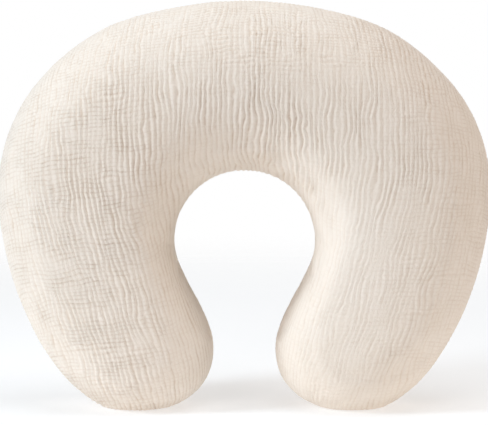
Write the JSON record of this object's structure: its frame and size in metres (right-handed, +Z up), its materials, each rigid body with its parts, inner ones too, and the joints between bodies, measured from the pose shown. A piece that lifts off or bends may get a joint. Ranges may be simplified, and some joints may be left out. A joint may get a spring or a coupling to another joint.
{
  "type": "nursing pillow",
  "caption": "Horseshoe nursing pillow in a zipped crinkled cotton cover over a fibre-filled cushion, standing on the tips of its legs.",
  "frame": {"origin": "on the floor, midway between the two feet and midway through the depth", "axes": "+X across the two legs, +Y to the back where the zip is, +Z up"},
  "size_m": [0.5148, 0.15, 0.428],
  "materials": {
    "crinkled_cotton": "cream double gauze cotton with a fine vertical crinkle",
    "sewing_thread": "cream spun polyester thread",
    "satin_ribbon": "white satin ribbon, left blank",
    "zip_tape": "cream woven tape",
    "zip_nylon": "cream nylon",
    "zip_enamel": "cream enamel on zinc",
    "casing_cloth": "plain white cotton casing",
    "polyester_fibre": "white hollow polyester fibre"
  },
  "bodies": {
    "pillow": {"cover_front_panel": "crinkled_cotton", "cover_back_panel": "crinkled_cotton", "cover_seam_thread": "sewing_thread", "care_label": "satin_ribbon", "zip_tape_front": "zip_tape", "zip_tape_back": "zip_tape", "zip_coil_front": "zip_nylon", "zip_coil_back": "zip_nylon", "zip_top_stop_front": "zip_nylon", "zip_top_stop_back": "zip_nylon", "zip_bottom_stop": "zip_nylon", "casing_front_panel": "casing_cloth", "casing_back_panel": "casing_cloth", "casing_seam_thread": "sewing_thread", "casing_label": "satin_ribbon", "fibre_fill": "polyester_fibre"},
    "slider": {"zip_slider": "zip_enamel"},
    "pull_tab": {"zip_pull_tab": "zip_enamel"}
  },
  "joints": [
    {"name": "zip_travel", "type": "hinge", "parent": "pillow", "child": "slider", "pos_m": [0, 0.032, 0.033], "axis": [0, 1, 0], "range_deg": [-33.1, 0]},
    {"name": "pull_tab_flip", "type": "hinge", "parent": "slider", "child": "pull_tab", "pos_m": [0.11072, 0.03352, 0.40443], "axis": [-0.1396, 0.8725, -0.4683], "range_deg": [0, 170]}
  ]
}
